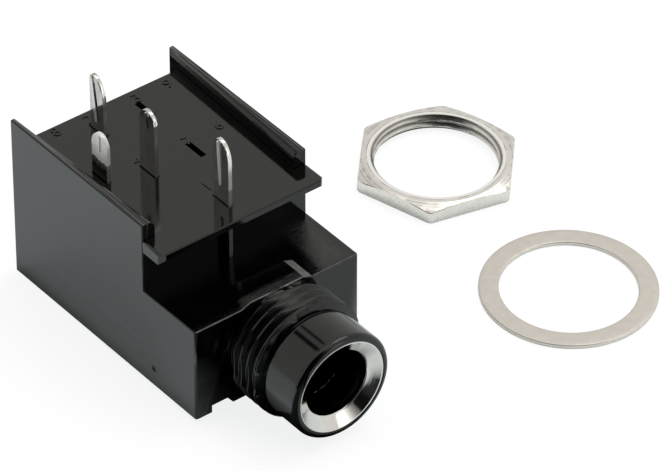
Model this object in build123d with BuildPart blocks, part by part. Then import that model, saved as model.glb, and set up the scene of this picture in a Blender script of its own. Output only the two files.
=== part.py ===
"""Switched three-conductor audio jack socket for a circuit board, with its loose panel nut and washer.

Millimetres, +Z up. The origin is on the plug axis, in the front face that meets the panel.
The plug goes in along +Y. The solder pins point up, and the socket lies on its feet.
"""
import os
from math import atan2, cos, degrees, hypot, radians, sin, tan

from build123d import *

os.makedirs("parts", exist_ok=True)

# Housing envelope
body_width = 18.0
front_depth = 7.45          # low front block, from the panel face to the step
box_end = 25.4              # rear face of the contact box
side_end = 26.8             # rear ends of the side walls
axis_height = 5.06          # plug axis above the feet
front_height = 9.74         # top of the front block above the feet
side_height = 16.88         # tops of the side walls above the feet
belly_gap = 0.76            # underside of the box above the feet
side_front_thickness = 1.74
side_back_thickness = 0.48
side_front_rounding = 0.75  # inner edges of the side walls' tops, where the walls start
side_back_rounding = 0.15   # the same at their rear ends
edge_rounding = 0.25

# Contact chamber
box_wall = 1.2              # front and rear walls of the chamber
pin_wall_gap = 0.45         # from the outer pin's blade to the chamber's side wall
floor_thickness = 0.8
chamber_rounding = 0.6
stop_pad_width = 6.4
stop_pad_depth = 1.6        # pad on the rear wall that carries the tip terminal
ledge_depth = 1.6           # ledges on the left wall that carry the ring and switch feet
ledge_bore_gap = 0.4        # from the ledges' ends to the plug's path

# Lands on the front block
top_land_height = 0.4
top_land_width = 7.8        # at its foot, and narrower on top by its slanted sides
top_land_depth = 2.9
top_land_slant = 1.0
belly_land_width = 9.9      # at the level of the feet, and wider where it meets the underside
belly_land_slant = 0.6
gate_mark_radius = 0.35
gate_mark_depth = 0.15
gate_mark_back = 6.1        # from the panel face
gate_mark_height = 1.85     # above the feet

# Bushing, nose and ferrule
thread_diameter = 11.7
thread_length = 4.3
neck_diameter = 9.9
neck_length = 0.45
nose_diameter = 10.5
nose_front = 9.2            # front of the nose ahead of the panel face
nose_rounding = 0.55
nose_root_slant = 0.2
plug_bore_diameter = 6.5    # in the ferrule
housing_bore_diameter = 6.9 # behind the ferrule, clear of the plug
ferrule_wall = 0.35
ferrule_length = 5.6
ferrule_rim_diameter = 9.2
ferrule_cone_depth = 0.75
ferrule_lip = 0.1

# Terminal plate
plate_thickness = 1.2
plate_below_sides = 1.6     # plate's top under the tops of the side walls
plate_overhang = 2.8        # ahead of the step
plate_corner = 0.5
plate_edge_chamfer = 0.12   # top of the front edge
plate_lip_chamfer = 0.55    # underside of the front edge
plate_side_rounding = 0.3   # tops of the overhang's ends
plate_clearance = 0.06

# Contacts, all stamped from the same strip
strip = 0.4
spring_thickness = 0.3
pin_width = 2.2
tip_pin_width = 1.95
round_end = 1.35            # length over which the ring and switch pins are drawn in to their ends
leaf_end = 1.7              # the same of the sleeve and tip pins, which end in a longer curve
quarter_turn = 90.0         # each half of a pin's end is a quarter of an ellipse
sleeve_pin_lean = 0.25      # a pin's highest point lies this far behind its centre line
tip_pin_lean = 0.6
bead_width = 0.5            # rib pressed out of each blade
bead_height = 0.12
bead_slant = 30.0
bead_top_gap = 0.12         # below the pin's highest point
long_bead = 4.8
short_bead = 1.8
slot_clearance = 0.1
inner_column = 2.54         # pin columns either side of the plug axis
outer_column = 6.35
sleeve_row = 7.7            # pin rows behind the panel face
ring_row = 15.0
switch_row = 16.9
tip_row = 22.45
sleeve_pin_height = 6.65    # pin tips above the plate
ring_pin_height = 6.7
switch_pin_height = 4.8
tip_pin_height = 5.95
hinge_gap = 0.05            # running gap between a spring arm and its root
leaf_width = 2.5
leaf_bend_radius = 0.5
leaf_offset = 1.55          # tip and ring arms lie either side of the plug axis
sleeve_leaf_width = 2.2
contact_gap = 0.05          # tip arm above the switch contact at rest
ring_foot_setback = 1.0     # from the chamber's left wall
switch_foot_depth = 1.8

# Spring arms: root and contact point, as height above the plug axis and distance behind the panel,
# and the reach and rise of the free end past the contact point
tip_root_height = 5.4
tip_level_start = 1.6       # the tip arm lies level over the switch contact, from this far behind it
tip_level_end = 1.3         # to this far behind its contact point
tip_contact_back = 14.2
tip_contact_height = 1.7
tip_lead = (1.2, 1.8)
ring_root_height = 5.0
ring_contact_back = 10.5
ring_contact_height = 2.45
ring_lead = (1.1, 1.1)
sleeve_root_height = 3.75
sleeve_contact_back = 2.4
sleeve_contact_height = 2.75
sleeve_lead = (0.9, 0.5)
switch_height = 3.95        # top of the fixed switch contact above the plug axis

# Pocket over the bore for the sleeve arm, and the seat behind it for the sleeve terminal's foot
pocket_front = 0.9
pocket_clearance = 0.2
pocket_headroom = 0.5       # over the arm's root
seat_clearance = 0.4        # at the sides, wider than the pocket
seat_front_gap = 0.3

# Loose hardware
nut_across_flats = 14.0
nut_thickness = 1.6
nut_bore_diameter = 11.5
nut_chamfer_angle = 20.0
nut_bore_chamfer = 0.35
nut_face_inset = 0.2        # flat ring inside the chamfer, from the flats
nut_place = (30.25, 15.3)
nut_turn = -13.0
washer_diameter = 16.3
washer_bore_diameter = 12.6
washer_thickness = 0.4
washer_place = (28.85, -5.4)

# Levels that follow from the sizes above
feet_z = -axis_height
belly_z = feet_z + belly_gap
front_top_z = front_height + feet_z
side_top_z = side_height + feet_z
plate_top_z = side_top_z - plate_below_sides
plate_seat_z = plate_top_z - plate_thickness
half_width = body_width / 2
chamber_front = front_depth + box_wall
chamber_back = box_end - box_wall
chamber_floor_z = belly_z + floor_thickness
chamber_half_width = outer_column + strip / 2 + pin_wall_gap
bore_radius = plug_bore_diameter / 2
housing_bore_radius = housing_bore_diameter / 2
ferrule_radius = bore_radius + ferrule_wall
thread_radius = thread_diameter / 2
nose_radius = nose_diameter / 2
slot_width = strip + 2 * slot_clearance
slot_length = pin_width + 2 * slot_clearance
pin_places = {
    "sleeve": (0.0, sleeve_row),
    "ring": (-inner_column, ring_row),
    "switch": (-outer_column, switch_row),
    "tip": (-inner_column, tip_row),
}
spare_slots = [(inner_column, ring_row), (inner_column, tip_row)]


def side_thickness(back):
    """Thickness of a side wall at a distance behind the panel face."""
    taper = (side_front_thickness - side_back_thickness) / side_end
    return side_front_thickness - taper * back


pocket_half_width = sleeve_leaf_width / 2 + pocket_clearance
pocket_roof_z = sleeve_root_height + pocket_headroom
seat_half_width = pocket_half_width + seat_clearance
seat_z = sleeve_root_height - strip / 2 - hinge_gap
seat_front = sleeve_row - pin_width / 2 - seat_front_gap
ledge_width = chamber_half_width - bore_radius - ledge_bore_gap

with BuildPart() as housing:
    # Front block and contact box, drawn from the side
    with BuildSketch(Plane.YZ) as body_profile:
        with BuildLine():
            Polyline(
                (0, belly_z),
                (0, front_top_z),
                (front_depth, front_top_z),
                (front_depth, plate_seat_z),
                (box_end, plate_seat_z),
                (box_end, belly_z),
                close=True,
            )
        make_face()
    extrude(amount=half_width, both=True)

    # Side walls, thinner towards the rear, which stand past the box above, below and behind
    with BuildSketch(Plane.XY.offset(feet_z)) as side_plan:
        with BuildLine():
            Polyline(
                (half_width, 0),
                (half_width, side_end),
                (half_width - side_back_thickness, side_end),
                (half_width - side_front_thickness, 0),
                close=True,
            )
        make_face()
        mirror(about=Plane.YZ)
    extrude(amount=side_height)
    with BuildSketch(Plane.XY.offset(front_top_z)) as step_cut:
        with Locations((0, front_depth / 2)):
            Rectangle(2 * body_width, front_depth)
    extrude(amount=side_height, mode=Mode.SUBTRACT)

    # Inner edges of the side walls' tops, rounded more towards the front
    for back, rounding in ((front_depth, side_front_rounding), (side_end, side_back_rounding)):
        inner = half_width - side_thickness(back)
        with BuildSketch(Plane.XZ.offset(-back)) as corner_section:
            with BuildLine():
                Polyline(
                    (inner, side_top_z - rounding),
                    (inner, side_top_z),
                    (inner + rounding, side_top_z),
                )
                RadiusArc(
                    (inner, side_top_z - rounding),
                    (inner + rounding, side_top_z),
                    rounding,
                )
            make_face()
    corner = loft(mode=Mode.PRIVATE)
    add(corner, mode=Mode.SUBTRACT)
    mirror(corner, about=Plane.YZ, mode=Mode.SUBTRACT)

    # Upright edges of the front face
    front_face = housing.faces().sort_by(Axis.Y)[0]
    upright_edges = front_face.edges().filter_by(Axis.Z)
    outer_edges = upright_edges.sort_by(lambda edge: abs(edge.center().X))[-2:]
    fillet(outer_edges, edge_rounding)

    # Land under the front block, level with the feet
    with BuildSketch(Plane.XZ.offset(-front_depth)) as belly_land:
        with BuildLine():
            Polyline(
                (belly_land_width / 2, feet_z),
                (belly_land_width / 2 + belly_land_slant, belly_z),
                (-belly_land_width / 2 - belly_land_slant, belly_z),
                (-belly_land_width / 2, feet_z),
                close=True,
            )
        make_face()
    extrude(amount=front_depth)

    # Land on top of the front block, with slanted sides
    with BuildSketch(Plane.XZ) as top_land:
        with BuildLine():
            Polyline(
                (top_land_width / 2, front_top_z),
                (top_land_width / 2 - top_land_slant, front_top_z + top_land_height),
                (-top_land_width / 2 + top_land_slant, front_top_z + top_land_height),
                (-top_land_width / 2, front_top_z),
                close=True,
            )
        make_face()
    extrude(amount=-top_land_depth)

    # Chamber for the contacts, open at the top
    with BuildSketch(Plane.XY.offset(chamber_floor_z)) as chamber:
        with Locations((0, (chamber_front + chamber_back) / 2)):
            RectangleRounded(
                2 * chamber_half_width, chamber_back - chamber_front, chamber_rounding
            )
    extrude(amount=plate_seat_z - chamber_floor_z, mode=Mode.SUBTRACT)

    # Pad on the rear wall that carries the tip terminal and stops the plug
    with BuildSketch(Plane.XY.offset(chamber_floor_z)) as stop_pad:
        with Locations((0, chamber_back)):
            Rectangle(stop_pad_width, stop_pad_depth, align=(Align.CENTER, Align.MAX))
    extrude(amount=tip_root_height - strip / 2 - hinge_gap - chamber_floor_z)

    # Ledges on the left wall that carry the ring terminal and the switch contact
    for ledge_front, ledge_top in (
        (ring_row - pin_width / 2, ring_root_height - strip / 2 - hinge_gap),
        (switch_row - ledge_depth / 2, switch_height - strip - hinge_gap),
    ):
        with BuildSketch(Plane.XY.offset(chamber_floor_z)) as ledge:
            with Locations((-chamber_half_width, ledge_front)):
                Rectangle(ledge_width, ledge_depth, align=(Align.MIN, Align.MIN))
        extrude(amount=ledge_top - chamber_floor_z)

    # Bushing and nose, turned about the plug axis
    with BuildSketch(Plane.XY) as nose_section:
        with BuildLine():
            neck_start = -thread_length - neck_length / 2
            neck_end = neck_start - neck_length / 2
            Polyline(
                (nose_radius - nose_rounding, -nose_front),
                (0, -nose_front),
                (0, 0),
                (thread_radius, 0),
                (thread_radius, -thread_length),
                (neck_diameter / 2, neck_start),
                (neck_diameter / 2, neck_end),
                (nose_radius, neck_end - nose_root_slant),
                (nose_radius, -nose_front + nose_rounding),
            )
            RadiusArc(
                (nose_radius, -nose_front + nose_rounding),
                (nose_radius - nose_rounding, -nose_front),
                nose_rounding,
            )
        make_face()
    revolve(axis=Axis.Y)

    # Bore for the plug, with the ferrule's seat at its mouth
    with BuildSketch(Plane.XY) as bore_section:
        with BuildLine():
            Polyline(
                (0, chamber_front),
                (housing_bore_radius, chamber_front),
                (housing_bore_radius, -nose_front + ferrule_length),
                (ferrule_radius, -nose_front + ferrule_length),
                (ferrule_radius, -nose_front + ferrule_cone_depth + ferrule_wall),
                (ferrule_rim_diameter / 2, -nose_front + ferrule_wall),
                (ferrule_rim_diameter / 2, -nose_front),
                (0, -nose_front),
                close=True,
            )
        make_face()
    revolve(axis=Axis.Y, mode=Mode.SUBTRACT)

    # Pocket that opens into the bore for the sleeve arm, and the seat behind it
    with BuildSketch(Plane.XY.offset(pocket_roof_z)) as pocket:
        with Locations((0, pocket_front)):
            Rectangle(
                2 * pocket_half_width, chamber_front - pocket_front,
                align=(Align.CENTER, Align.MIN),
            )
    extrude(amount=-pocket_roof_z, mode=Mode.SUBTRACT)
    with BuildSketch(Plane.XY.offset(pocket_roof_z)) as seat:
        with Locations((0, seat_front)):
            Rectangle(
                2 * seat_half_width, chamber_front - seat_front,
                align=(Align.CENTER, Align.MIN),
            )
    extrude(amount=-(pocket_roof_z - seat_z), mode=Mode.SUBTRACT)

    # Slot through the step for the sleeve terminal's blade
    with BuildSketch(Plane.XY.offset(plate_seat_z)) as blade_slot:
        with Locations((0, sleeve_row)):
            Rectangle(slot_width, slot_length)
    extrude(amount=-(plate_seat_z - seat_z), mode=Mode.SUBTRACT)

    # Mark left by the moulding gate on the left side
    with BuildSketch(Plane.YZ.offset(-half_width)) as gate_mark:
        with Locations((gate_mark_back, feet_z + gate_mark_height)):
            Circle(gate_mark_radius)
    extrude(amount=gate_mark_depth, mode=Mode.SUBTRACT)
housing.part.label = "housing"

with BuildPart() as terminal_plate:
    step_gap = front_depth - plate_clearance
    plate_front = front_depth - plate_overhang
    inner_front = half_width - side_thickness(front_depth) - plate_clearance
    inner_back = half_width - side_thickness(box_end) - plate_clearance
    with BuildSketch(Plane.XY.offset(plate_seat_z)) as plate_plan:
        with BuildLine():
            Polyline(
                (0, plate_front),
                (half_width - plate_corner, plate_front),
                (half_width, plate_front + plate_corner),
                (half_width, step_gap),
                (inner_front, step_gap),
                (inner_back, box_end),
                (0, box_end),
                close=True,
            )
        make_face()
        mirror(about=Plane.YZ)
        with Locations(*pin_places.values(), *spare_slots):
            Rectangle(slot_width, slot_length, mode=Mode.SUBTRACT)
    extrude(amount=plate_thickness)

    # Overhang: rounded tops at both ends, a broken top edge in front and a bevelled underside
    overhang_ends = [terminal_plate.faces().sort_by(Axis.X)[place] for place in (0, -1)]
    end_tops = [end.edges().filter_by(Axis.Y).sort_by(Axis.Z)[-1] for end in overhang_ends]
    fillet(end_tops, plate_side_rounding)
    lip_face = terminal_plate.faces().sort_by(Axis.Y)[0]
    lip_top = lip_face.edges().filter_by(Axis.X).sort_by(Axis.Z)[-1]
    chamfer(lip_top, plate_edge_chamfer)
    with BuildSketch(Plane.YZ) as lip_cut:
        with BuildLine():
            Polyline(
                (plate_front, plate_seat_z),
                (plate_front + plate_lip_chamfer, plate_seat_z),
                (plate_front, plate_seat_z + plate_lip_chamfer),
                close=True,
            )
        make_face()
    extrude(amount=half_width, both=True, mode=Mode.SUBTRACT)
terminal_plate.part.label = "terminal_plate"

with BuildPart() as ferrule:
    with BuildSketch(Plane.XY) as ferrule_section:
        mouth = -nose_front + plate_clearance
        with BuildLine():
            Polyline(
                (bore_radius, -nose_front + ferrule_cone_depth + plate_clearance),
                (bore_radius, -nose_front + ferrule_length),
                (ferrule_radius, -nose_front + ferrule_length),
                (ferrule_radius, -nose_front + ferrule_cone_depth + ferrule_wall),
                (ferrule_rim_diameter / 2, -nose_front + ferrule_wall),
                (ferrule_rim_diameter / 2, mouth),
                (ferrule_rim_diameter / 2 - ferrule_lip, mouth),
                close=True,
            )
        make_face()
    revolve(axis=Axis.Y)
ferrule.part.label = "ferrule"


def solder_pin(place, width, height, foot_z, end_length, lean, bead_length):
    """Upright blade through the plate, from its foot to a rounded end, with a pressed rib."""
    across, back = place
    top_z = plate_top_z + height
    half = width / 2
    front_shoulder_z = top_z - end_length * (1 + lean / half)
    rear_shoulder_z = top_z - end_length * (1 - lean / half)
    crest = back + lean
    near_face = Plane.YZ.offset(across - strip / 2)
    with BuildPart() as pin:
        with BuildSketch(near_face) as outline:
            with BuildLine():
                Polyline(
                    (back - half, front_shoulder_z),
                    (back - half, foot_z),
                    (back + half, foot_z),
                    (back + half, rear_shoulder_z),
                )
                EllipticalCenterArc(
                    (crest, rear_shoulder_z), half - lean, top_z - rear_shoulder_z,
                    start_angle=0, arc_size=quarter_turn,
                )
                EllipticalCenterArc(
                    (crest, front_shoulder_z), half + lean, top_z - front_shoulder_z,
                    start_angle=quarter_turn, arc_size=quarter_turn,
                )
            make_face()
        extrude(amount=strip)

        # The rib runs from the blade's highest point to its centre line
        bead_rise = bead_length - bead_width
        bead_middle_z = top_z - bead_top_gap - bead_length / 2
        with BuildSketch(near_face) as bead:
            with Locations((back + lean / 2, bead_middle_z)):
                SlotCenterToCenter(
                    hypot(bead_rise, lean), bead_width, rotation=degrees(atan2(bead_rise, lean))
                )
        extrude(amount=-bead_height, taper=bead_slant)
    return pin.part


def foot(left, right, front, rear, top_z):
    """Flat foot folded from the blade, lying level under its top."""
    with BuildPart() as plate:
        with BuildSketch(Plane.XY.offset(top_z)) as outline:
            with Locations(((left + right) / 2, (front + rear) / 2)):
                Rectangle(right - left, rear - front)
        extrude(amount=-strip)
    return plate.part


def spring_arm(across, width, root, points):
    """Leaf from a rounded root through its bends, drawn from the side and given its width."""
    with BuildPart() as arm:
        with BuildSketch(Plane.YZ.offset(across - width / 2)) as leaf:
            with BuildLine():
                FilletPolyline(root, *points, radius=leaf_bend_radius)
            trace(line_width=spring_thickness)
            with Locations(root):
                Circle(strip / 2)
        extrude(amount=width)
    return arm.part


tip_root = (tip_row - tip_pin_width / 2 - strip / 2 - hinge_gap, tip_root_height)
ring_root = (ring_row - pin_width / 2 - strip / 2 - hinge_gap, ring_root_height)
sleeve_root = (sleeve_row - pin_width / 2 - strip / 2 - hinge_gap, sleeve_root_height)
half_spring = spring_thickness / 2
level_z = switch_height + contact_gap + half_spring

with BuildPart() as tip_terminal:
    add(
        solder_pin(
            pin_places["tip"], tip_pin_width, tip_pin_height, tip_root_height,
            leaf_end, tip_pin_lean, long_bead,
        )
    )
    add(
        foot(
            -inner_column - strip / 2,
            leaf_offset + leaf_width / 2,
            tip_row - tip_pin_width / 2,
            chamber_back - hinge_gap,
            tip_root_height + strip / 2,
        )
    )
tip_terminal.part.label = "tip_terminal"

with BuildPart() as ring_terminal:
    add(
        solder_pin(
            pin_places["ring"], pin_width, ring_pin_height, ring_root_height,
            round_end, 0, short_bead,
        )
    )
    add(
        foot(
            -chamber_half_width + ring_foot_setback,
            -leaf_offset + leaf_width / 2,
            ring_row - pin_width / 2,
            ring_row + pin_width / 2,
            ring_root_height + strip / 2,
        )
    )
ring_terminal.part.label = "ring_terminal"

with BuildPart() as sleeve_terminal:
    add(
        solder_pin(
            pin_places["sleeve"], pin_width, sleeve_pin_height, sleeve_root_height,
            leaf_end, sleeve_pin_lean, long_bead,
        )
    )
    add(
        foot(
            -seat_half_width + slot_clearance,
            seat_half_width - slot_clearance,
            sleeve_row - pin_width / 2,
            chamber_front - hinge_gap,
            sleeve_root_height + strip / 2,
        )
    )
sleeve_terminal.part.label = "sleeve_terminal"

with BuildPart() as switch_contact:
    add(
        solder_pin(
            pin_places["switch"], pin_width, switch_pin_height, switch_height - strip / 2,
            round_end, 0, short_bead,
        )
    )
    add(
        foot(
            -outer_column - strip / 2,
            leaf_offset + leaf_width / 2,
            switch_row - switch_foot_depth / 2,
            switch_row + switch_foot_depth / 2,
            switch_height,
        )
    )
switch_contact.part.label = "switch_contact"

with BuildPart() as tip_spring:
    tip_contact_z = tip_contact_height + half_spring
    tip_points = [
        (switch_row + tip_level_start, level_z),
        (tip_contact_back + tip_level_end, level_z),
        (tip_contact_back, tip_contact_z),
        (tip_contact_back - tip_lead[0], tip_contact_z + tip_lead[1]),
    ]
    add(spring_arm(leaf_offset, leaf_width, tip_root, tip_points))
tip_spring.part.label = "tip_spring"

with BuildPart() as ring_spring:
    ring_contact_z = ring_contact_height + half_spring
    ring_points = [
        (ring_contact_back, ring_contact_z),
        (ring_contact_back - ring_lead[0], ring_contact_z + ring_lead[1]),
    ]
    add(spring_arm(-leaf_offset, leaf_width, ring_root, ring_points))
ring_spring.part.label = "ring_spring"

with BuildPart() as sleeve_spring:
    sleeve_contact_z = sleeve_contact_height + half_spring
    sleeve_points = [
        (sleeve_contact_back, sleeve_contact_z),
        (sleeve_contact_back - sleeve_lead[0], sleeve_contact_z + sleeve_lead[1]),
    ]
    add(spring_arm(0, sleeve_leaf_width, sleeve_root, sleeve_points))
sleeve_spring.part.label = "sleeve_spring"

# The surface that the socket lies on touches the bushing's thread and the ends of the side walls
rest_rise = thread_radius - axis_height
rest_run = side_end + thread_length
rest_tilt = degrees(atan2(rest_rise, rest_run))


def resting_plane(place):
    """Plane on that surface, with its centre over the place."""
    across, back = place
    height = -thread_radius + (back + thread_length) * tan(radians(rest_tilt))
    return Plane(
        origin=(across, back, height),
        x_dir=(1, 0, 0),
        z_dir=(0, -sin(radians(rest_tilt)), cos(radians(rest_tilt))),
    )


with BuildPart() as hex_nut:
    with BuildSketch(resting_plane(nut_place)) as nut_outline:
        RegularPolygon(nut_across_flats / 2, 6, major_radius=False, rotation=nut_turn)
        Circle(nut_bore_diameter / 2, mode=Mode.SUBTRACT)
    extrude(amount=nut_thickness)
    face_radius = nut_across_flats / 2 - nut_face_inset
    with Locations(resting_plane(nut_place)):
        Cone(
            face_radius + nut_thickness / tan(radians(nut_chamfer_angle)),
            face_radius,
            nut_thickness,
            align=(Align.CENTER, Align.CENTER, Align.MIN),
            mode=Mode.INTERSECT,
        )
    bore_edges = hex_nut.edges().filter_by(GeomType.CIRCLE).group_by(SortBy.RADIUS)[0]
    chamfer(bore_edges, nut_bore_chamfer)
hex_nut.part.label = "hex_nut"

with BuildPart() as washer:
    with BuildSketch(resting_plane(washer_place)) as washer_outline:
        Circle(washer_diameter / 2)
        Circle(washer_bore_diameter / 2, mode=Mode.SUBTRACT)
    extrude(amount=washer_thickness)
washer.part.label = "washer"

for piece in (
    housing, terminal_plate, ferrule, tip_terminal, ring_terminal, sleeve_terminal,
    switch_contact, tip_spring, ring_spring, sleeve_spring, hex_nut, washer,
):
    export_step(piece.part, f"parts/{piece.part.label}.step")
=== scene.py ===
"""Looks of the audio jack socket: black mouldings, turned ferrule, tinned pins, panel nut and washer."""
from math import atan2, cos, floor, pi, radians, sin, tan

import bmesh
import bpy
from mathutils import Matrix, Vector


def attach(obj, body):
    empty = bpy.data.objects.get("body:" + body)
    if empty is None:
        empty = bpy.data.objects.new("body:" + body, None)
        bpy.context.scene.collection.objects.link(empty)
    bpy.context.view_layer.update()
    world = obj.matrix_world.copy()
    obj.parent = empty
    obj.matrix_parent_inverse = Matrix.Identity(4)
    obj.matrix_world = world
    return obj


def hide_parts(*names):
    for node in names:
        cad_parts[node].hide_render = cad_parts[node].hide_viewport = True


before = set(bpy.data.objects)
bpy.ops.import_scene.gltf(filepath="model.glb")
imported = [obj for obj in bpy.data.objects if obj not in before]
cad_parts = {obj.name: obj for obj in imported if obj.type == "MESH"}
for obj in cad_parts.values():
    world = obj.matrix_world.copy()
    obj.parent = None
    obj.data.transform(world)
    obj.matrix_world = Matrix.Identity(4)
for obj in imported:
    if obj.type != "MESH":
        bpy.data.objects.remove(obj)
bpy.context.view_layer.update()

MM = 0.001

# Sizes that the visual model shares with the solids, in millimetres
HALF_WIDTH = 9.0
FRONT_DEPTH = 7.45                     # of the low front block, from the panel face
FRONT_TOP = 4.68                       # of the same, above the plug axis
THREAD_RADIUS = 5.85
THREAD_LENGTH = 4.3
NECK_RADIUS = 4.95
NOSE_RADIUS = 5.25
NOSE_FRONT = 9.2
NOSE_ROUNDING = 0.55
FERRULE_REAR = 3.6
FERRULE_RADIUS = 3.6
TAPER_FRONT, TAPER_REAR = 0.35, 1.1    # the ferrule's outside narrows here, behind the nose's front
BORE_RADIUS = 3.25
RIM_RADIUS = 4.6
RIM_WIDTH = 0.1
CONE_DEPTH = 0.75
PLATE_TOP = 10.22
AXIS_HEIGHT = 5.06
SIDE_END = 26.8

# Sizes that only the visual model has, in millimetres
THREAD_PITCH = 1.0
THREAD_DEPTH = 0.54
RELIEF_DEPTH = 0.75                    # of the groove behind the first turn
THREAD_HALF_WIDTH = 5.62               # over the flattened sides
THREAD_TOP = 5.54                      # height of the flattened top
SEAT_GAP = 0.01                        # between the ferrule and its seat
WELD = 0.002                           # vertices of a CAD mesh that are closer than this are one

NUT_PLACE, NUT_TURN = (30.25, 15.3), 17.0
WASHER_PLACE = (28.85, -5.4)


def pointed(name, data, place, direction):
    """Camera or lamp in the scene that looks along a direction."""
    made = bpy.data.objects.new(name, data)
    made.location = place
    made.rotation_mode = "QUATERNION"
    made.rotation_quaternion = direction.to_track_quat("-Z", "Y")
    bpy.context.scene.collection.objects.link(made)
    return made


def make_camera():
    """The long lens that was fitted to the photo."""
    azimuth, elevation, distance = radians(38.122), radians(38.287), 535.9
    forward = Vector((sin(azimuth) * cos(elevation), cos(azimuth) * cos(elevation), -sin(elevation)))
    aim = Vector((8.633, 3.213, 4.894)) * MM
    data = bpy.data.cameras.new("camera")
    data.lens = 329.5
    data.sensor_width = 36
    data.clip_start, data.clip_end = 0.01, 20
    bpy.context.scene.camera = pointed("camera", data, aim - forward * distance * MM, forward)


make_camera()


# Node helpers
class Tree:
    """A node tree, with short calls for the nodes that the looks use."""

    def __init__(self, tree):
        self.nodes, self.links = tree.nodes, tree.links

    def node(self, kind, inputs=(), **settings):
        made = self.nodes.new(kind)
        for name, value in settings.items():
            setattr(made, name, value)
        for key, value in dict(inputs).items():
            if isinstance(value, bpy.types.NodeSocket):
                self.links.new(value, made.inputs[key])
            else:
                made.inputs[key].default_value = value
        return made

    def math(self, operation, a, b=0.0):
        return self.node("ShaderNodeMath", {0: a, 1: b}, operation=operation).outputs[0]

    def all(self, first, *others):
        """Product of several masks and shares."""
        for other in others:
            first = self.math("MULTIPLY", first, other)
        return first

    def inverse(self, mask):
        return self.math("SUBTRACT", 1.0, mask)

    def spread(self, value, low, high, to_low=0.0, to_high=1.0, smooth=False):
        """Maps the range from low to high onto another range, and stays at its ends beyond them."""
        return self.node(
            "ShaderNodeMapRange",
            {"Value": value, "From Min": low, "From Max": high, "To Min": to_low, "To Max": to_high},
            interpolation_type="SMOOTHSTEP" if smooth else "LINEAR",
        ).outputs[0]


class Shader(Tree):
    """A material's nodes. A socket's place or distance is in metres, and a bare length in millimetres."""

    def __init__(self, name, **constants):
        self.material = bpy.data.materials.new(name)
        self.material.use_nodes = True
        super().__init__(self.material.node_tree)
        self.principled = self.nodes["Principled BSDF"]
        for socket, value in constants.items():
            self.principled.inputs[socket.replace("_", " ")].default_value = value
        self.place = self.nodes.new("ShaderNodeTexCoord").outputs["Object"]

    def axis(self, name):
        return self.node("ShaderNodeSeparateXYZ", {0: self.place}).outputs[name]

    def facing(self, name):
        """Part of the surface's own normal along X, Y or Z."""
        normal = self.node("ShaderNodeNewGeometry").outputs["Normal"]
        return self.node("ShaderNodeSeparateXYZ", {0: normal}).outputs[name]

    def radius(self, a, b):
        return self.math("SQRT", self.math("ADD", self.math("POWER", a, 2.0), self.math("POWER", b, 2.0)))

    def stretched(self, stretch=(1, 1, 1)):
        """The place in millimetres, times a factor along each axis."""
        inputs = {0: self.place, 1: [v * 1000 for v in stretch]}
        return self.node("ShaderNodeVectorMath", inputs, operation="MULTIPLY").outputs[0]

    def noise(self, scale, detail=3.0, stretch=(1, 1, 1), roughness=0.5):
        """Noise whose scale is in features per millimetre."""
        return self.node(
            "ShaderNodeTexNoise",
            {"Vector": self.stretched(stretch), "Scale": scale, "Detail": detail, "Roughness": roughness},
        ).outputs["Fac"]

    def rings(self, distance, per_metre, detail):
        """Noise along one distance."""
        inputs = {"W": self.math("MULTIPLY", distance, per_metre), "Scale": 1.0, "Detail": detail}
        return self.node("ShaderNodeTexNoise", inputs, noise_dimensions="1D").outputs["Fac"]

    def specks(self, scale, largest, share=0.4):
        """Small round spots in a share of the cells; the scale is in cells per millimetre."""
        cells = self.node("ShaderNodeTexVoronoi", {"Vector": self.stretched(), "Scale": scale})
        size = self.spread(self.noise(scale * 0.9, 0.0), 1 - share, 0.85, 0.0, largest)
        return self.math("LESS_THAN", cells.outputs["Distance"], size)

    def vary(self, noise, low=0.0, high=1.0):
        """Spreads the usual range of a noise onto another."""
        return self.spread(noise, 0.3, 0.7, low, high)

    def ramp(self, value, low, high, to_low=0.0, to_high=1.0, smooth=False):
        """As spread, between two values in millimetres."""
        return self.spread(value, low * MM, high * MM, to_low, to_high, smooth)

    def below(self, value, limit):
        return self.math("LESS_THAN", value, limit * MM)

    def above(self, value, limit):
        return self.math("GREATER_THAN", value, limit * MM)

    def band(self, value, low, high, soft=0.02):
        """1 between two values in millimetres, fading to 0 over the soft width outside them."""
        rise = self.ramp(value, low - soft, low)
        return self.all(rise, self.ramp(value, high, high + soft, 1.0, 0.0))

    def mix(self, factor, a, b):
        return self.node("ShaderNodeMix", {"Factor": factor, "A": a, "B": b}).outputs[0]

    def colour(self, factor, a, b):
        """Mix of two colours, each a socket or a tone of three numbers."""
        a, b = (c if isinstance(c, bpy.types.NodeSocket) else (*c, 1) for c in (a, b))
        return self.node("ShaderNodeMix", {0: factor, 6: a, 7: b}, data_type="RGBA").outputs[2]

    def bump(self, height, depth, normal=None):
        """Normal over a height from 0 to 1 that stands for a depth in millimetres."""
        inputs = {"Height": height, "Distance": depth * MM, "Strength": 1.0}
        if normal is not None:
            inputs["Normal"] = normal
        return self.node("ShaderNodeBump", inputs).outputs["Normal"]

    def set(self, **sockets):
        for name, value in sockets.items():
            self.links.new(value, self.principled.inputs[name.replace("_", " ")])
        return self.material


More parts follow.
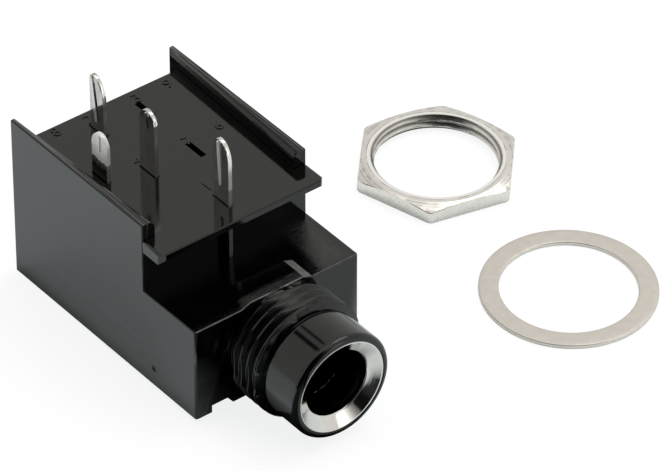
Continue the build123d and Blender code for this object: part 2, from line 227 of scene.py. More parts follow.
# Finishes
def moulding_finish():
    """Black moulded plastic: satin sides, smoother nose, brushed step, painted highlights and sheen, and a
    parting line.
    """
    s = Shader("black_moulding", IOR=1.5)
    broad = s.noise(0.35, 2.0)
    fine = s.noise(9.0, 4.0)
    marks = s.noise(3.2, 3.0, (0.3, 3.0, 1.0))
    wear_and_sheen = s.noise(1.6, 4.0)
    across, back, up = s.axis("X"), s.axis("Y"), s.axis("Z")
    aside = s.math("ABSOLUTE", across)

    # The step's top with its two brushed places, the outer sides, and what is inside them above the plate
    top = s.all(s.band(back, 0.02, FRONT_DEPTH - 0.05), s.band(up, FRONT_TOP - 0.04, FRONT_TOP + 0.44))
    front_land = s.all(s.band(back, 0.1, 1.0, 0.3), s.band(across, -3.2, 3.0, 0.5), top)
    right_top = s.all(s.band(across, 5.6, 7.6, 0.8), s.band(back, 0.9, 6.6, 0.8), top)
    brushed = s.math("MAXIMUM", front_land, right_top)
    outside = s.ramp(aside, HALF_WIDTH - 0.15, HALF_WIDTH - 0.05)
    inner = s.all(s.inverse(outside), s.ramp(up, 10.1, 10.2))

    # How rough each of them is
    satin = s.math("ADD", s.vary(broad, 0.19, 0.25), s.spread(fine, 0.35, 0.65, -0.015, 0.015))
    smooth = s.vary(broad, 0.09, 0.13)
    inner_rough = s.spread(s.noise(1.4, 3.0, (1.0, 0.25, 2.0)), 0.45, 0.7, 0.045, 0.14)
    rough = s.mix(inner, s.mix(outside, smooth, satin), inner_rough)
    rough = s.math("ADD", rough, s.all(brushed, s.spread(marks, 0.4, 0.6, 0.0, 0.13)))

    # Parting line along both sides, and the relief of the marks
    from_line = s.math("ABSOLUTE", s.math("ADD", up, 0.9 * MM))
    line = s.all(s.ramp(from_line, 0.03, 0.07, 1.0, 0.0, smooth=True),
                 s.ramp(aside, HALF_WIDTH - 0.07, HALF_WIDTH - 0.03), s.spread(wear_and_sheen, 0.44, 0.62))
    normal = s.bump(line, 0.01)
    normal = s.bump(s.all(marks, top), 0.01, normal)
    normal = s.bump(s.all(marks, brushed), 0.03, normal)
    normal = s.bump(fine, 0.0012, normal)

    # Black, with a greyer line and marks, a painted highlight along the front edge, a painted highlight on
    # the slant of the land, painted sheen on the rear ends inside the walls, and dust
    tone = s.colour(s.vary(broad), (0.0004, 0.0005, 0.0005), (0.001, 0.0012, 0.0012))
    tone = s.colour(s.all(line, 0.5), tone, (0.07, 0.075, 0.075))
    tone = s.colour(s.all(brushed, s.spread(marks, 0.46, 0.64, 0.0, 0.3)), tone, (0.05, 0.052, 0.05))
    # Painted highlight along the step's front top edge, broken up by noise
    edge = s.all(s.band(back, 0.03, 0.1, 0.03), s.band(up, 4.5, 5.1), s.spread(wear_and_sheen, 0.35, 0.62, 0.15, 1.0),
                 s.ramp(aside, 2.8, 3.4, 1.0, 0.4))
    tone = s.colour(edge, tone, (0.2, 0.21, 0.2))
    # Painted highlight on the land's slanted side, where it faces the light
    slant_highlight = s.all(s.band(across, 2.95, 3.85, 0.03), s.band(back, 0.1, 2.86), s.band(up, 4.66, 5.1),
                  s.vary(wear_and_sheen, 0.6, 1.0))
    tone = s.colour(slant_highlight, tone, (0.22, 0.23, 0.22))
    # Painted reflection: the walls' inner faces lighter towards the rear ends
    rearward = s.ramp(back, 13, 26)
    rear_sheen = s.all(inner, rearward, rearward, s.band(up, 11.0, 11.75))
    rear_sheen_tone = s.colour(s.vary(wear_and_sheen), (0.1, 0.1, 0.095), (0.16, 0.16, 0.15))
    tone = s.colour(rear_sheen, tone, rear_sheen_tone)
    dust = s.all(s.specks(0.5, 0.045), top, s.below(across, 2.0), 0.8)
    tone = s.colour(dust, tone, (0.2, 0.2, 0.19))
    return s.set(Base_Color=tone, Roughness=rough, Normal=normal)


def plate_finish():
    """Glossier black plate with faint flow marks and a few specks of dust."""
    s = Shader("black_plate", IOR=1.5)
    broad = s.noise(0.3, 2.0)
    flow = s.noise(0.9, 3.0, (0.35, 1.0, 1.0))
    fine = s.noise(12.0, 3.0)
    dust = s.specks(0.6, 0.065, 0.65)
    tone = s.colour(s.vary(broad), (0.0006, 0.0014, 0.0006), (0.0016, 0.003, 0.0016))
    tone = s.colour(s.all(dust, 0.8), tone, (0.24, 0.24, 0.23))
    rough = s.math("ADD", s.vary(broad, 0.07, 0.11), s.vary(flow, -0.02, 0.02))
    rough = s.math("ADD", rough, s.all(dust, 0.4))
    normal = s.bump(fine, 0.0009, s.bump(flow, 0.004))
    return s.set(Base_Color=tone, Roughness=rough, Normal=normal)


def ferrule_finish():
    """Bright nickel with fine turning rings, painted shade in the bore, and one thin painted highlight line
    low in it.
    """
    s = Shader("bright_nickel")
    across, along, up = s.axis("X"), s.axis("Y"), s.axis("Z")
    radius = s.radius(across, up)
    rings = s.rings(s.math("ADD", radius, along), 30000.0, 3.0)
    smudge = s.noise(0.8, 3.0)
    tone = s.colour(s.spread(smudge, 0.35, 0.65), (0.76, 0.745, 0.715), (0.82, 0.805, 0.775))
    # Painted shade inside the bore
    inside = s.all(s.below(radius, BORE_RADIUS + 0.07), s.above(along, -8.3))
    tone = s.colour(inside, tone, (0.22, 0.215, 0.2))
    # Painted highlight: one thin bright line low in the bore, not metallic so it stays bright
    line = s.all(inside, s.band(along, -5.13, -5.07), s.band(across, 0.1, 2.3, 0.2),
                 s.below(up, 0.0), s.spread(s.noise(2.5), 0.35, 0.55, 0.2, 1.0))
    tone = s.colour(line, tone, (0.95, 0.95, 0.93))
    rough = s.spread(s.math("ADD", rings, smudge), 0.6, 1.4, 0.04, 0.1)
    return s.set(Metallic=s.inverse(line), Base_Color=tone, Roughness=rough, Normal=s.bump(rings, 0.0012))


def tin_finish(name, face, front, side, rib_painted_tone, dipped_above=None):
    """Tinned blade with marks of the rolling, painted shade below the plate, a rib with a painted tone of
    light and shade, and a narrow front edge with painted shade that brightens near the top.

    The rib stands out of the side at the face's place on X, and its tone is painted light: bright for a
    highlight, dark for a crease in shade.
    The front edge is given as the two heights between which its painted shade brightens and its tone below
    them, and the side as its tone, how dull it is, and where on Y it turns duller. Solder may coat the top,
    down to a ragged line.
    """
    low, high, edge_tone = front
    side_tone, side_dull, side_from = side
    s = Shader(name)
    rolled = s.noise(3.0, 3.0, (1.0, 4.0, 0.25))
    spots = s.noise(1.6, 4.0)
    up = s.axis("Z")
    ahead = s.spread(s.facing("Y"), -0.9, -0.4, 1.0, 0.0)
    bright = s.ramp(up, low, high, smooth=True)
    rib = s.ramp(s.axis("X"), face - 0.09, face - 0.05, 1.0, 0.0)

    tone = s.colour(s.spread(spots, 0.35, 0.7), (side_tone, 0.975 * side_tone, 0.92 * side_tone),
                    (0.82 * side_tone, 0.795 * side_tone, 0.75 * side_tone))
    # Painted light on the front edge: painted shade low down, brightening towards the top
    edge = s.colour(bright, (edge_tone, edge_tone, 0.96 * edge_tone), (0.86, 0.85, 0.81))
    tone = s.colour(ahead, tone, edge)
    # Painted shade: the blade darker below the plate
    tone = s.colour(s.ramp(up, 8.9, 9.3), (0.2, 0.2, 0.19), tone)
    # Painted light and shade on the rib: a fixed tone per blade, kept by making it partly not metallic
    tone = s.colour(rib, tone, (rib_painted_tone, rib_painted_tone, 0.95 * rib_painted_tone))
    rough = s.math("ADD", s.vary(spots, 0.06, 0.12), s.vary(rolled, -0.02, 0.03))
    normal = s.bump(rolled, 0.002, s.bump(spots, 0.004))

    # A part that isn't metallic keeps its tone whatever it mirrors
    duller = s.ramp(s.axis("Y"), side_from - 0.1, side_from + 0.2, 0.3 * side_dull, side_dull)
    dull = s.all(duller, s.spread(rolled, 0.35, 0.65, 0.75, 1.0), s.inverse(ahead))
    dull = s.math("ADD", dull, s.all(ahead, s.inverse(bright), 0.6))
    dull = s.math("MAXIMUM", dull, s.all(rib, 0.7 * rib_painted_tone))

    if dipped_above is not None:
        line = s.math("ADD", up, s.all(s.noise(2.4, 5.0, roughness=0.65), 1.5 * MM))
        dip = s.ramp(line, dipped_above + 0.7, dipped_above + 0.85, smooth=True)
        smear = s.ramp(line, dipped_above - 0.4, dipped_above + 0.6, 0.0, 0.6, smooth=True)
        # Painted shade: below the smear the blade's sides are nearly black, the front edge keeps its tone
        under = s.colour(s.math("SUBTRACT", 0.85, s.all(ahead, 0.85)), tone, (0.03, 0.03, 0.028))
        tone = s.colour(smear, under, (0.3, 0.31, 0.31))
        tone = s.colour(dip, tone, (0.86, 0.86, 0.84))
        rough = s.mix(dip, rough, s.vary(spots, 0.3, 0.5))
        dull = s.math("MAXIMUM", dull, s.all(s.math("MAXIMUM", dip, smear), 0.75))
    return s.set(Metallic=s.inverse(dull), Base_Color=tone, Roughness=rough, Normal=normal)


def spring_finish():
    """Nickel-plated spring strip with rolling marks."""
    s = Shader("spring_strip", Metallic=1.0)
    rolled = s.noise(4.0, 3.0, (5.0, 0.2, 1.0))
    spots = s.noise(1.2, 3.0)
    tone = s.colour(s.vary(spots), (0.66, 0.62, 0.54), (0.58, 0.54, 0.47))
    return s.set(Base_Color=tone, Roughness=s.vary(rolled, 0.2, 0.34), Normal=s.bump(rolled, 0.002))


def turned_finish(name, centre, tint, dark, side, rough, ring_depth, groove=None, chamfer=None):
    """Satin nickel plate over turned rings about the centre, with upright sides painted lighter as painted
    light.

    Shade is painted into the groove between two radii. Worn arcs show outside the chamfer's radius, and a
    painted highlight ring with a fine dark one lies inside it.
    """
    worn = (0.4, 0.39, 0.36)
    s = Shader(name, Metallic=1.0)
    across = s.math("SUBTRACT", s.axis("X"), centre[0] * MM)
    back = s.math("SUBTRACT", s.axis("Y"), centre[1] * MM)
    radius = s.radius(across, back)
    rings = s.rings(radius, 9000.0, 4.0)
    spots = s.noise(1.1, 4.0)
    grain = s.noise(14.0, 3.0)
    upright = s.spread(s.math("ABSOLUTE", s.facing("Z")), 0.45, 0.6, 1.0, 0.0)

    tone = s.colour(s.spread(spots, 0.35, 0.7), tint, dark)
    if groove:
        start, end = groove
        # Painted shade in the thread's groove
        groove_shade = s.all(s.ramp(radius, start, end, smooth=True), s.below(radius, end + 0.06), 0.8)
        tone = s.colour(groove_shade, tone, (0.12, 0.118, 0.11))
        upright = s.all(upright, s.above(radius, end + 0.2))
    if chamfer:
        arcs = s.spread(s.rings(radius, 4200.0, 1.0), 0.5, 0.58)
        turned = s.all(s.ramp(radius, chamfer - 0.2, chamfer), arcs)
        tone = s.colour(s.all(turned, s.spread(spots, 0.4, 0.6, 0.1, 0.75)), tone, worn)
        # Painted highlight: a bright ring inside the chamfer, next to the bore
        tone = s.colour(s.band(radius, chamfer - 0.75, chamfer - 0.5), tone, (0.95, 0.94, 0.92))
        fine_ring = s.band(radius, chamfer - 0.47, chamfer - 0.41)
        tone = s.colour(s.all(fine_ring, s.spread(spots, 0.4, 0.6)), tone, worn)
    # Painted light: upright sides get a lighter tone than the top
    side_tone = s.colour(s.spread(spots, 0.35, 0.65), side, [0.95 * c for c in side])
    tone = s.colour(upright, tone, side_tone)
    roughness = s.math("ADD", s.vary(spots, *rough), s.vary(rings, -0.03, 0.03))
    normal = s.bump(grain, 0.0022, s.bump(rings, ring_depth))
    return s.set(Base_Color=tone, Roughness=roughness, Normal=normal)


# Mesh helpers
def new_piece(name, mesh, material, slot, *nodes, body="socket"):
    piece = bpy.data.objects.new(name, mesh)
    bpy.context.scene.collection.objects.link(piece)
    mesh.materials.clear()
    mesh.materials.append(material)
    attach(piece, body)
    if nodes:
        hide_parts(*nodes)
    return piece


def circle(radius, count):
    """Points of a circle, as pairs of coordinates."""
    return [(radius * cos(2 * pi * j / count), radius * sin(2 * pi * j / count)) for j in range(count)]


def ring_mesh(name, rings):
    """Closed mesh through rings of equal length, the last joined to the first, with its faces outwards."""
    count = len(rings[0])
    faces = []
    for i in range(len(rings)):
        a, b = i * count, ((i + 1) % len(rings)) * count
        for j in range(count):
            k = (j + 1) % count
            faces.append((a + j, a + k, b + k, b + j))
    mesh = bpy.data.meshes.new(name)
    mesh.from_pydata([tuple(c * MM for c in p) for ring in rings for p in ring], [], faces)
    mesh.validate()
    for polygon in mesh.polygons:
        polygon.use_smooth = True
    bm = bmesh.new()
    bm.from_mesh(mesh)
    bmesh.ops.recalc_face_normals(bm, faces=bm.faces)
    bm.to_mesh(mesh)
    bm.free()
    return mesh


def sharp_by_angle(mesh, angle):
    """Smooth shading with sharp edges where two faces meet at more than the angle."""
    mesh.polygons.foreach_set("use_smooth", [True] * len(mesh.polygons))
    mesh.set_sharp_from_angle(angle=radians(angle))


def bevel_edges(bm, width, inside):
    """Rounds the convex edges of more than 20 degrees that lie inside a region, in millimetres."""
    edges = [
        e for e in bm.edges
        if e.is_manifold and e.is_convex and e.calc_face_angle() > radians(20)
        and all(inside(*(v.co / MM)) for v in e.verts)
    ]
    bmesh.ops.bevel(
        bm, geom=edges, offset=width * MM, offset_type="OFFSET", segments=3, profile=0.5,
        affect="EDGES", clamp_overlap=True, miter_outer="SHARP",
    )


def joined_with(piece, mesh, operation):
    """The piece's mesh after a boolean with another closed mesh."""
    other = bpy.data.objects.new("other", mesh)
    bpy.context.scene.collection.objects.link(other)
    step = piece.modifiers.new("step", "BOOLEAN")
    step.operation, step.solver, step.object = operation, "EXACT", other
    bpy.context.view_layer.update()
    made = bpy.data.meshes.new_from_object(piece.evaluated_get(bpy.context.evaluated_depsgraph_get()))
    piece.modifiers.clear()
    bpy.data.objects.remove(other)
    return made


def block_mesh(low, high):
    """Closed box between two corners, in millimetres."""
    verts = [
        Vector((x, y, z)) * MM
        for x in (low[0], high[0]) for y in (low[1], high[1]) for z in (low[2], high[2])
    ]
    faces = [(0, 1, 3, 2), (4, 6, 7, 5), (0, 4, 5, 1), (2, 3, 7, 6), (0, 2, 6, 4), (1, 5, 7, 3)]
    mesh = bpy.data.meshes.new("block")
    mesh.from_pydata(verts, [], faces)
    return mesh


def clamped(value):
    return min(1.0, max(0.0, value))


def from_crest(turns):
    """0 on a thread's crest and 1 in its groove, by the number of turns along it."""
    return abs(turns - floor(turns) - 0.5) * 2


# Housing
def thread_depth(back, turn):
    """How far the thread lies below its crest, at a place on Y and a turn of 0 to 1, from the right upwards.

    It fades at the nose. The relief groove at the panel is narrower over the quarter turn where the thread
    starts, from the top to the left.
    """
    flank = clamped((from_crest((back + 1.2) / THREAD_PITCH - (turn - 0.25) + 0.5) - 0.05) / 0.75)
    flank = flank * flank * (3 - 2 * flank) * 0.2 + flank * 0.8
    end = clamped((back + THREAD_LENGTH - 0.02) / 0.2)
    late = clamped((0.25 - turn) / 0.06) if turn < 0.5 else 1.0
    start = clamped((back + 0.55 + 0.4 * late) / 0.18)
    return THREAD_DEPTH * flank * end * (1 - start) + RELIEF_DEPTH * start


def bushing_mesh():
    """Threaded bushing, neck and rounded nose, turned about the plug axis, with the ferrule's seat."""
    count, thread_steps, plain_steps, rounding_steps = 256, 130, 8, 12
    inside = 3.4                           # a little within the housing's bore behind the ferrule
    rings = []

    def ring(radius, y, threaded=False):
        points = []
        for j in range(count):
            turn = j / count
            a = 2 * pi * turn
            r = radius - thread_depth(y, turn) if threaded else radius
            x, z = r * cos(a), r * sin(a)
            if threaded:
                x, z = max(-THREAD_HALF_WIDTH, min(THREAD_HALF_WIDTH, x)), min(z, THREAD_TOP)
            points.append((x, y, z))
        rings.append(points)

    # From inside the box to the front
    ring(inside, 0.12)
    ring(THREAD_RADIUS - 0.72, 0.12)
    for i in range(1, thread_steps):
        ring(THREAD_RADIUS, -THREAD_LENGTH * i / thread_steps, threaded=True)
    end = -THREAD_LENGTH
    ring(THREAD_RADIUS - 0.06, end)
    ring(NECK_RADIUS + 0.12, end - 0.2)
    ring(NECK_RADIUS, end - 0.26)
    ring(NECK_RADIUS, end - 0.42)
    ring(NECK_RADIUS + 0.04, end - 0.45)
    ring(NOSE_RADIUS - 0.03, end - 0.5)
    ring(NOSE_RADIUS, end - 0.54)
    for i in range(plain_steps):
        ring(NOSE_RADIUS, end - 0.9 - (NOSE_FRONT - NOSE_ROUNDING + end - 0.9) * i / plain_steps)
    for i in range(rounding_steps + 1):
        a = pi / 2 * i / rounding_steps
        ring(NOSE_RADIUS - NOSE_ROUNDING + NOSE_ROUNDING * cos(a),
             -NOSE_FRONT + NOSE_ROUNDING - NOSE_ROUNDING * sin(a))

    # The ferrule's seat, back to the start
    ring(RIM_RADIUS + 0.03, -NOSE_FRONT)
    ring(RIM_RADIUS + SEAT_GAP, -NOSE_FRONT + 0.03)
    ring(RIM_RADIUS + SEAT_GAP, -NOSE_FRONT + TAPER_FRONT)
    ring(FERRULE_RADIUS + SEAT_GAP, -NOSE_FRONT + TAPER_REAR)
    ring(FERRULE_RADIUS + SEAT_GAP, -FERRULE_REAR + SEAT_GAP)
    ring(inside, -FERRULE_REAR + SEAT_GAP)
    return ring_mesh("bushing", rings)


def is_softened(x, y, z):
    """Whether a point lies on the step's front or side edges or on the outer edges of the box."""
    return (
        (4.6 < z < 5.2 and y < 0.3)
        or (abs(x) > 8.7 and abs(z - FRONT_TOP) < 0.03 and y < FRONT_DEPTH + 0.05)
        or (abs(x) > HALF_WIDTH - 0.1 and y > FRONT_DEPTH - 0.05 and z > 4.6)
    )


def housing_piece(material):
    """The solid behind the panel face with soft edges, joined to a turned bushing and nose."""
    bm = bmesh.new()
    bm.from_mesh(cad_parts["housing"].data)
    bmesh.ops.remove_doubles(bm, verts=bm.verts, dist=WELD * MM)
    mesh = bpy.data.meshes.new("housing_moulding")
    bm.to_mesh(mesh)
    bm.free()
    piece = new_piece("housing_moulding", mesh, material, "moulding", "housing")
    bm = bmesh.new()
    bm.from_mesh(joined_with(piece, block_mesh((-20, -20, -20), (20, 0.002, 20)), "DIFFERENCE"))
    bmesh.ops.remove_doubles(bm, verts=bm.verts, dist=0.03 * MM)
    bmesh.ops.recalc_face_normals(bm, faces=bm.faces)
    bmesh.ops.dissolve_limit(
        bm, angle_limit=radians(1), use_dissolve_boundaries=False, verts=bm.verts, edges=bm.edges
    )
    bevel_edges(bm, 0.12, is_softened)
    bm.to_mesh(piece.data)
    bm.free()
    joined = joined_with(piece, bushing_mesh(), "UNION")
    piece.data = joined
    joined.name = "housing_moulding"
    joined.materials.clear()
    joined.materials.append(material)
    sharp_by_angle(joined, 50)
    even = piece.modifiers.new("even", "WEIGHTED_NORMAL")
    even.weight, even.keep_sharp = 80, True


# Ferrule
def ferrule_piece(material):
    """Countersunk ferrule with a thin rounded rim, a polished cone and a rounded throat."""
    count, cone_steps = 192, 16
    recess = 0.06
    front = -NOSE_FRONT + recess
    throat = -NOSE_FRONT + CONE_DEPTH + recess
    land = RIM_RADIUS - RIM_WIDTH
    profile = [
        (FERRULE_RADIUS, -FERRULE_REAR),
        (FERRULE_RADIUS, -NOSE_FRONT + TAPER_REAR),
        (RIM_RADIUS, -NOSE_FRONT + TAPER_FRONT),
        (RIM_RADIUS, front + 0.05),
        (RIM_RADIUS - 0.02, front + 0.015),
        (RIM_RADIUS - 0.05, front),
        (land, front),
    ]
    for i in range(1, cone_steps):
        t = i / cone_steps
        profile.append((land - (land - BORE_RADIUS - 0.06) * t, front + (throat - front - 0.06) * t))
    profile += [
        (BORE_RADIUS + 0.03, throat - 0.02),
        (BORE_RADIUS + 0.006, throat + 0.03),
        (BORE_RADIUS, throat + 0.1),
        (BORE_RADIUS, -FERRULE_REAR - 0.08),
        (BORE_RADIUS + 0.03, -FERRULE_REAR),
    ]
    mesh = ring_mesh("ferrule_ring", [[(x, y, z) for x, z in circle(r, count)] for r, y in profile])
    sharp_by_angle(mesh, 35)
    new_piece("ferrule_ring", mesh, material, "ferrule", "ferrule")


# Loose hardware
REST_TILT = atan2(THREAD_RADIUS - AXIS_HEIGHT, SIDE_END + THREAD_LENGTH)


def on_rest(place):
    """Matrix of the surface that everything lies on, over a place in millimetres."""
    across, back = place
    height = -THREAD_RADIUS + (back + THREAD_LENGTH) * tan(REST_TILT)
    return Matrix.Translation(Vector((across, back, height)) * MM) @ Matrix.Rotation(REST_TILT, 4, "X")


def nut_piece(material):
    """Hexagonal panel nut with a turned chamfer and a threaded bore."""
    count, bore_steps, thickness = 288, 40, 1.6
    flat, corner, chamfer = 7.0, 8.0, 6.8
    crest, root, mouth, pitch, lead_in = 5.75, 6.03, 6.1, 0.8, 0.35
    slope = tan(radians(20))
    angles = [2 * pi * j / count for j in range(count)]
    rings = []

    def hexagon(a):
        b = (a + pi / 6) % (pi / 3) - pi / 6
        return min(flat / cos(b), corner + 0.02 * cos(6 * b))

    def towards_hexagon(a, share):
        return chamfer + (hexagon(a) - chamfer) * share

    def top(r):
        return thickness - max(0.0, r - chamfer) * slope

    def bore(height, a):
        """Radius of the threaded bore, which widens at both ends."""
        widened = crest + max(0.0, lead_in - height, height - thickness + lead_in)
        groove = clamped((from_crest(height / pitch - a / (2 * pi)) - 0.15) / 0.6)
        return max(widened, crest + (root - crest) * groove)

    def ring(height, radius):
        """Height and radius are numbers or depend on the angle."""
        points = []
        for a in angles:
            r = radius(a) if callable(radius) else radius
            points.append((
                r * cos(a + radians(NUT_TURN)), r * sin(a + radians(NUT_TURN)),
                height(a) if callable(height) else height,
            ))
        rings.append(points)

    # Threaded bore from the bottom up, then over the top, down the flats and across the underside
    ring(0.0, mouth)
    for i in range(1, bore_steps):
        height = thickness * i / bore_steps
        ring(height, lambda a: bore(height, a))
    for radius in (mouth, mouth + 0.03, 6.45, chamfer - 0.02):
        ring(thickness, radius)
    ring(top(chamfer + 0.03), chamfer + 0.03)
    for share in (0.5, 0.94):
        ring(lambda a: top(towards_hexagon(a, share)), lambda a: towards_hexagon(a, share))
    ring(lambda a: top(hexagon(a)) - 0.02, lambda a: hexagon(a) - 0.015)
    ring(lambda a: top(hexagon(a)) - 0.06, hexagon)
    ring(0.07, hexagon)
    ring(0.02, lambda a: hexagon(a) - 0.02)
    ring(0.0, lambda a: hexagon(a) - 0.07)
    mesh = ring_mesh("panel_nut", rings)
    mesh.transform(on_rest(NUT_PLACE))
    sharp_by_angle(mesh, 24)
    new_piece("panel_nut", mesh, material, "nut_metal", "hex_nut")


def washer_piece(material):
    """Stamped washer: rounded on the punched side, with a faint burr."""
    count, thickness = 256, 0.4
    inner, outer = 6.3, 8.15
    section = [
        (inner, 0.05), (inner, thickness - 0.1), (inner + 0.02, thickness - 0.035),
        (inner + 0.07, thickness - 0.005), (inner + 0.14, thickness),
        (inner + 0.6, thickness), (outer - 0.6, thickness),
        (outer - 0.14, thickness), (outer - 0.06, thickness - 0.01),
        (outer - 0.015, thickness - 0.045), (outer, thickness - 0.11),
        (outer, 0.03), (outer - 0.03, 0.0), (inner + 0.04, 0.0),
    ]
    mesh = ring_mesh("flat_washer", [[(x, y, h) for x, y in circle(r, count)] for r, h in section])
    mesh.transform(on_rest(WASHER_PLACE))
    sharp_by_angle(mesh, 60)
    new_piece("flat_washer", mesh, material, "washer_metal", "washer")


# Plate and contacts
def dressed(node, material, bevel):
    """Keeps a CAD node, with its own finish and softened edges."""
    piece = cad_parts[node]
    piece.data.materials.clear()
    piece.data.materials.append(material)
    weld = piece.modifiers.new("weld", "WELD")
    weld.merge_threshold = WELD * MM
    soft = piece.modifiers.new("soft", "BEVEL")
    soft.width, soft.segments = bevel * MM, 2
    soft.limit_method, soft.angle_limit = "ANGLE", radians(30)
    soft.harden_normals = True


def numerals_piece(material):
    """Raised position numbers beside the slots."""
    places = [
        ("8", -5.7, 24.6), ("2", -2.3, 24.3), ("3", 2.9, 24.2), ("9", 6.4, 24.2),
        ("4", -2.5, 16.8), ("7", 2.7, 16.4), ("6", 6.2, 16.5), ("1", 0.1, 10.1),
    ]
    holders = []
    for text, across, back in places:
        curve = bpy.data.curves.new("numeral", "FONT")
        curve.body = text
        curve.size = 1.7 * MM
        curve.extrude, curve.bevel_depth, curve.offset = 0.05 * MM, 0.02 * MM, -0.015 * MM
        curve.align_x, curve.align_y = "CENTER", "CENTER"
        holder = bpy.data.objects.new("numeral", curve)
        bpy.context.scene.collection.objects.link(holder)
        holder.matrix_world = Matrix.Translation(Vector((across, back, PLATE_TOP + 0.01)) * MM)
        holders.append(holder)
    bpy.context.view_layer.update()
    bm = bmesh.new()
    for holder in holders:
        mesh = bpy.data.meshes.new_from_object(holder)
        mesh.transform(holder.matrix_world)
        bm.from_mesh(mesh)
        bpy.data.meshes.remove(mesh)
        bpy.data.objects.remove(holder)
    mesh = bpy.data.meshes.new("numerals")
    bm.to_mesh(mesh)
    bm.free()
    sharp_by_angle(mesh, 40)
    new_piece("numerals", mesh, material, "plate")


# Floor and light
def make_stage():
    """Pale floor on the surface that everything lies on, partly bright by itself to keep shadows faint.

    What the object's gloss shows of the floor is lit apart: brighter along the left side, as from a
    reflector there, and dark in a narrow strip in front, as from a black card, under the bushing, and on
    the left in front.
    """
    s = Shader("pale_floor")
    s.nodes.remove(s.principled)
    across, back = s.axis("X"), s.axis("Y")
    reflector = s.ramp(across, -10.5, -9.0, 0.42, 0.1, smooth=True)
    aside = s.math("ARCTAN2", s.math("SUBTRACT", 3.0 * MM, across), s.math("SUBTRACT", -9.0 * MM, back))
    card = s.all(s.spread(aside, 0.11, 0.15), s.spread(aside, 0.32, 0.36, 1.0, 0.0),
                 s.ramp(back, -20, -15, 1.0, 0.0))
    under = s.all(s.ramp(back, -13, -10.5), s.ramp(across, 2, 5, 1.0, 0.0),
                  s.ramp(across, -8.8, -3.4, 0.0, 0.96))
    turn = s.math("ARCTAN2", s.math("SUBTRACT", -3.0 * MM, back), s.math("SUBTRACT", -3.0 * MM, across))
    sector = s.all(s.spread(turn, 0.2, 0.35), s.spread(turn, 1.35, 1.5, 1.0, 0.0))
    lit = s.all(s.inverse(s.all(card, 0.97)), s.inverse(under), s.inverse(s.all(sector, 0.88)))

    def surface(colour, tint, strength):
        diffuse = s.node("ShaderNodeBsdfDiffuse", {"Color": colour}).outputs[0]
        glow = s.node("ShaderNodeEmission", {"Color": tint, "Strength": strength}).outputs[0]
        return s.node("ShaderNodeAddShader", {0: diffuse, 1: glow}).outputs[0]

    reflected = surface(
        s.colour(lit, (0, 0, 0), (0.87, 0.94, 0.965)), (0.94, 1.0, 1.02, 1), s.all(reflector, lit)
    )
    seen = surface((0.25, 0.25, 0.25, 1), (0.99, 1.0, 1.0, 1), 0.85)
    is_camera = s.node("ShaderNodeLightPath").outputs["Is Camera Ray"]
    pick = s.node("ShaderNodeMixShader", {0: is_camera, 1: reflected, 2: seen}).outputs[0]
    s.links.new(pick, s.nodes["Material Output"].inputs[0])
    half = 3000
    mesh = bpy.data.meshes.new("floor")
    mesh.from_pydata(
        [Vector(p) * MM for p in ((-half, -half, 0), (half, -half, 0), (half, half, 0), (-half, half, 0))],
        [], [(0, 1, 2, 3)],
    )
    mesh.transform(on_rest((10, 8)) @ Matrix.Translation((0, 0, -0.01 * MM)))
    mesh.materials.append(s.material)
    ground = bpy.data.objects.new("floor", mesh)
    bpy.context.scene.collection.objects.link(ground)


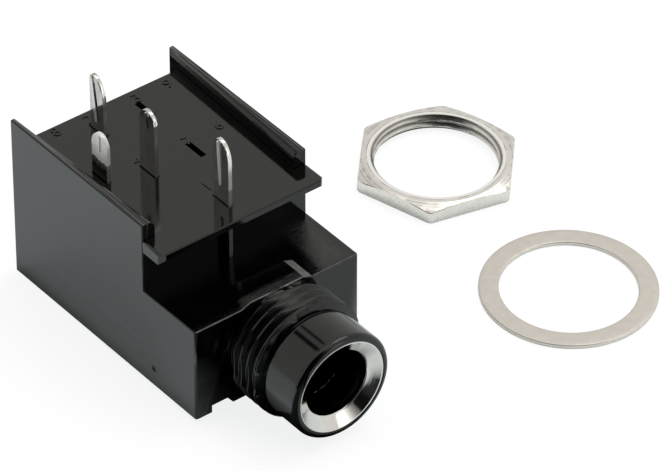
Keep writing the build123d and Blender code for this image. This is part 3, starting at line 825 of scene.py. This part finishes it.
def make_light():
    """White world for the camera, a room with bright and dark parts for everything else, and one lamp."""
    world = bpy.data.worlds.new("studio")
    bpy.context.scene.world = world
    world.use_nodes = True
    w = Tree(world.node_tree)
    w.nodes.clear()
    direction = w.node("ShaderNodeTexCoord").outputs["Generated"]

    def lobe(axis, low, high, weak, strong):
        """Brightness by direction: weak where it is far from the axis and strong near it."""
        inputs = {0: direction, 1: Vector(axis).normalized()}
        dot = w.node("ShaderNodeVectorMath", inputs, operation="DOT_PRODUCT").outputs["Value"]
        return w.spread(dot, low, high, weak, strong, smooth=True)

    brightness = w.all(
        lobe((-0.45, -0.85, 0.25), 0.62, 0.88, 0.8, 0.08),      # dimmer on the left in front
        lobe((0, 0, 1), 0.82, 0.96, 1.0, 1.5),                  # soft box above
        lobe((0.2, -0.94, 0.22), 0.93, 0.95, 1.0, 2.2),         # window in front
        lobe((-0.17, -0.98, 0.05), 0.966, 0.98, 1.0, 0.03),     # black card
        lobe((-0.55, -0.37, 0.74), 0.8, 0.93, 1.0, 0.03),       # dark left of the room, seen on the thread
        lobe((-0.9, -0.3, 0.2), 0.86, 0.95, 1.0, 0.1),
        lobe((-0.14, 0.62, 0.772), 0.9965, 0.999, 1.0, 0.0),    # gaps between the lamps, seen on the nose
        lobe((0.09, 0.62, 0.78), 0.998, 0.9996, 1.0, 0.1),
    )
    warm, white = (1.0, 0.985, 0.95, 1), (1, 1, 1, 1)
    lit = w.node("ShaderNodeBackground", {"Color": warm, "Strength": brightness}).outputs[0]
    seen = w.node("ShaderNodeBackground", {"Color": white}).outputs[0]
    is_camera = w.node("ShaderNodeLightPath").outputs["Is Camera Ray"]
    pick = w.node("ShaderNodeMixShader", {0: is_camera, 1: lit, 2: seen}).outputs[0]
    w.node("ShaderNodeOutputWorld", {0: pick})

    data = bpy.data.lights.new("overhead", "AREA")
    data.shape, data.size, data.energy = "DISK", 360 * MM, 0.6
    place, aim = Vector((300, 0, 560)) * MM, Vector((8, 8, 3)) * MM
    pointed("overhead", data, place, aim - place)


moulding = moulding_finish()
plate = plate_finish()
spring = spring_finish()

housing_piece(moulding)
ferrule_piece(ferrule_finish())
nut_piece(turned_finish(
    "nut_nickel", NUT_PLACE,
    tint=(0.80, 0.775, 0.735), dark=(0.70, 0.67, 0.63), side=(0.98, 0.925, 0.87),
    rough=(0.22, 0.32), ring_depth=0.006, groove=(5.8, 5.98), chamfer=6.9,
))
washer_piece(turned_finish(
    "washer_nickel", WASHER_PLACE,
    tint=(0.665, 0.625, 0.575), dark=(0.61, 0.575, 0.53), side=(0.92, 0.86, 0.79),
    rough=(0.4, 0.48), ring_depth=0.0015,
))
dressed("terminal_plate", plate, 0.06)
numerals_piece(plate)
for node, finish in (
    ("tip_terminal", tin_finish("tip_tin", -2.74, (11.0, 13.5, 0.26), (0.5, 0.12, 22.6), 0.75)),
    ("ring_terminal", tin_finish("ring_tin", -2.74, (12.5, 16.2, 0.22), (0.62, 0.05, 15.0), 0.3)),
    ("sleeve_terminal", tin_finish("sleeve_tin", -0.2, (13.4, 15.0, 0.36), (0.66, 0.16, 7.9), 0.95)),
    ("switch_contact",
     tin_finish("switch_tin", -6.55, (11.0, 12.0, 0.26), (0.5, 0.05, 16.9), 0.6, dipped_above=12.1)),
):
    dressed(node, finish, 0.06)
for node in ("tip_spring", "ring_spring", "sleeve_spring"):
    dressed(node, spring, 0.04)

make_stage()
make_light()
bpy.context.scene.view_settings.view_transform = "Standard"
